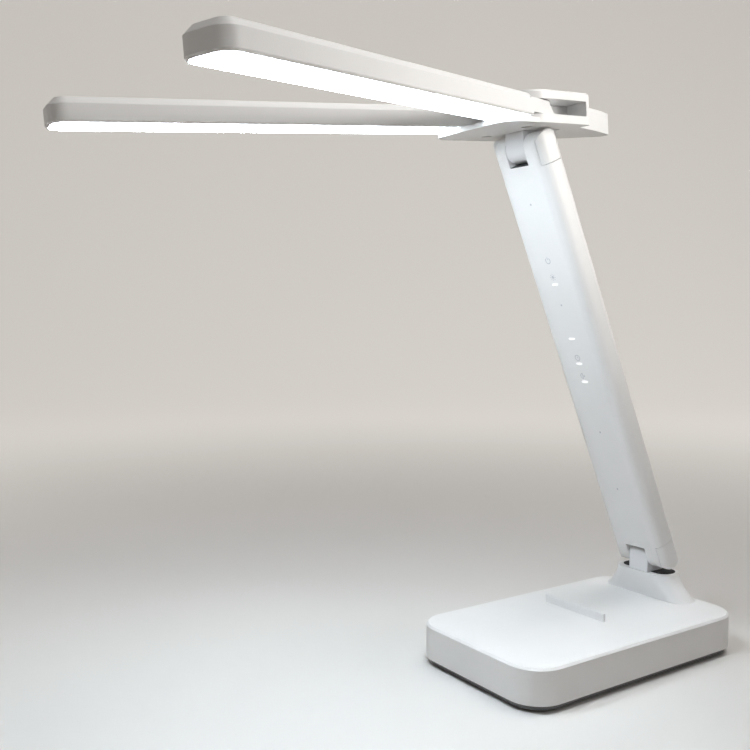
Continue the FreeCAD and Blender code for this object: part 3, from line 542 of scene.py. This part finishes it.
def stage_material():
    # Pale where it is looked at; its bounced light is that of a duller table.
    mat, tree, bsdf, place = shader("backdrop")
    mottle = noise(tree, place, scale=3, detail=3)
    pale = ramp(tree, mottle, FLOOR_PALE, tinted(FLOOR_PALE, 1.02))
    seen = seen_rays(tree)
    mix = tree.nodes.new("ShaderNodeMix")
    mix.data_type = "RGBA"
    mix.inputs["A"].default_value = (*FLOOR_BOUNCE, 1.0)
    tree.links.new(seen, mix.inputs["Factor"])
    tree.links.new(pale, mix.inputs["B"])
    tree.links.new(mix.outputs["Result"], bsdf.inputs["Base Color"])
    bsdf.inputs["Roughness"].default_value = 0.65
    # The far floor and the wall glow a little where they are seen, so they stay pale.
    away = tree.nodes.new("ShaderNodeVectorMath")
    away.operation = "LENGTH"
    tree.links.new(place, away.inputs[0])
    rise = map_range(tree, away.outputs["Value"], (0.0, WALL_GLOW), GLOW_REACH, smooth=True)
    tree.links.new(maths(tree, "MULTIPLY", rise, seen), bsdf.inputs["Emission Strength"])
    bsdf.inputs["Emission Color"].default_value = (*WALL_TONE, 1.0)
    return mat


def backdrop():
    # A floor that curves up into a wall behind the lamp, seen from the camera's side.
    mesh = bpy.data.meshes.new("backdrop")
    bm = bmesh.new()
    turn = Matrix.Rotation(BACKDROP_TURN, 4, "Z")
    profile = [(FLOOR_NEAR, 0.0), (CURVE_START, 0.0)]
    for k in range(1, CURVE_STEPS + 1):
        a = math.radians(90 * k / CURVE_STEPS)
        profile.append((CURVE_START + CURVE_R * math.sin(a), CURVE_R - CURVE_R * math.cos(a)))
    profile.append((CURVE_START + CURVE_R, WALL_TOP))
    rows = []
    for y, z in profile:
        rows.append([bm.verts.new(turn @ Vector((x, y, z))) for x in (-BACKDROP_HW, BACKDROP_HW)])
    for a, b in zip(rows, rows[1:]):
        face = bm.faces.new((a[0], a[1], b[1], b[0]))
        face.smooth = True
    bm.to_mesh(mesh)
    bm.free()
    obj = bpy.data.objects.new("backdrop", mesh)
    bpy.context.scene.collection.objects.link(obj)
    mesh.materials.append(stage_material())


def area(name, place, target, size, watts, colour, spread=180):
    data = bpy.data.lights.new(name, "AREA")
    data.shape = "DISK"
    data.size = size
    data.energy = watts
    data.color = colour
    data.spread = math.radians(spread)
    obj = bpy.data.objects.new(name, data)
    obj.location = place
    obj.rotation_mode = "QUATERNION"
    obj.rotation_quaternion = (Vector(target) - Vector(place)).to_track_quat("-Z", "Y")
    bpy.context.scene.collection.objects.link(obj)


def studio_world():
    # A dim even room; where it is seen itself it is as pale as the backdrop.
    world = bpy.data.worlds.new("studio")
    world.use_nodes = True
    tree = world.node_tree
    back = tree.nodes["Background"]
    back.inputs["Color"].default_value = (*WORLD_TONE, 1)
    level = map_range(tree, seen_rays(tree), (WORLD_LIGHT, WORLD_SEEN))
    tree.links.new(level, back.inputs["Strength"])
    bpy.context.scene.world = world


backdrop()
area("key", place=(0.15, 0.45, 1.5), target=(0, 0, 0.1), size=0.9, watts=8.5,
     colour=(1.0, 0.98, 0.95))
area("side", place=(0.55, 0.30, 0.40), target=(0.0, -0.08, 0.31), size=0.25, watts=0.27,
     colour=(1.0, 0.975, 0.94), spread=42)
studio_world()
bpy.context.scene.view_settings.view_transform = "Standard"


# ---------------------------------------------------------------- camera

# Fitted to the photograph's perspective.
CAMERA_PLACE = Vector((0.33258, -0.35351, 0.1805))
CAMERA_YAW = math.radians(55.996)
CAMERA_PITCH = math.radians(3.928)
CAMERA_ROLL = math.radians(-0.153)
CAMERA_LENS = 44.169
CAMERA_SENSOR = 36.0


def camera():
    flat = math.cos(CAMERA_PITCH)
    view = Vector((-math.sin(CAMERA_YAW) * flat, math.cos(CAMERA_YAW) * flat,
                   -math.sin(CAMERA_PITCH)))
    level = Vector((math.cos(CAMERA_YAW), math.sin(CAMERA_YAW), 0.0))
    right = level * math.cos(CAMERA_ROLL) + level.cross(view) * math.sin(CAMERA_ROLL)
    up = right.cross(view)
    data = bpy.data.cameras.new("camera")
    data.sensor_width = CAMERA_SENSOR
    data.sensor_fit = "HORIZONTAL"
    data.lens = CAMERA_LENS
    data.clip_start = 0.01
    obj = bpy.data.objects.new("camera", data)
    turn = Matrix((right, up, -view)).transposed().to_4x4()
    obj.matrix_world = Matrix.Translation(CAMERA_PLACE) @ turn
    bpy.context.scene.collection.objects.link(obj)
    bpy.context.scene.camera = obj


camera()
